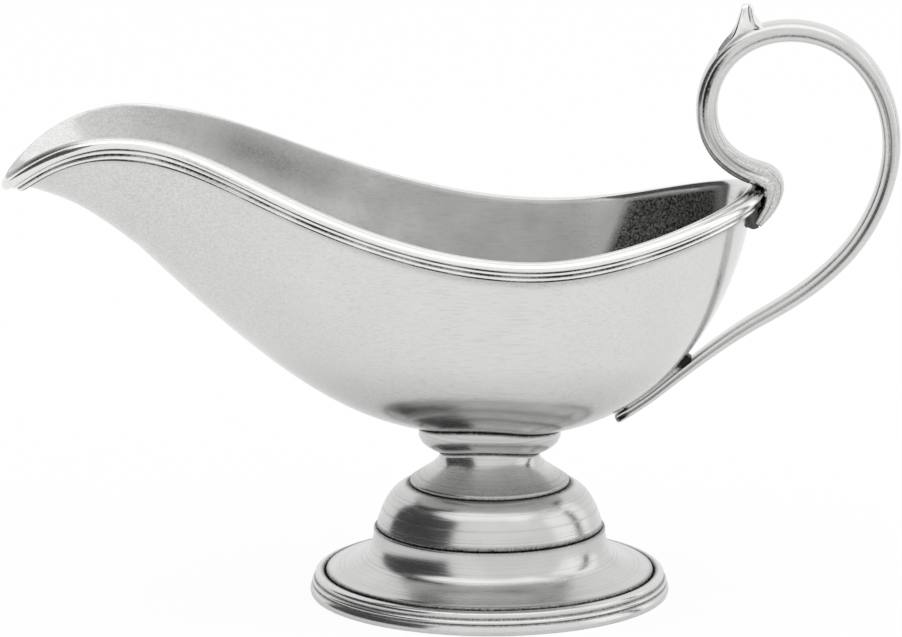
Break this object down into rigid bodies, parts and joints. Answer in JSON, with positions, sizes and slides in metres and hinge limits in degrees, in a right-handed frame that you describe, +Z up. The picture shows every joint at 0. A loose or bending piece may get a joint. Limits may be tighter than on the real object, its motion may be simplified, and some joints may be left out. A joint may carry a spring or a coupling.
{
  "type": "sauce boat",
  "caption": "Pewter sauce boat: a boat-shaped bowl with a pouring lip, reeded rim, turned pedestal foot and a loop handle with a thumb leaf.",
  "frame": {"origin": "on the table, under the middle of the boat's length and breadth", "axes": "+X towards the handle, with the pouring lip towards -X; +Y across the bowl; +Z up"},
  "size_m": [0.2147, 0.0864, 0.1444],
  "materials": {
    "bowl_pewter": "pewter, softly polished and finely scratched",
    "bright_pewter": "pewter, polished, with dark patina in the grooves",
    "turned_pewter": "pewter, lathe turned and softly polished"
  },
  "bodies": {
    "root": {"bowl": "bowl_pewter", "rim_moulding": "bright_pewter", "collar": "turned_pewter", "stem": "turned_pewter", "domed_tier": "turned_pewter", "spreading_base": "turned_pewter", "foot_rim": "bright_pewter", "handle": "bright_pewter", "thumb_leaf": "bright_pewter"}
  },
  "joints": []
}
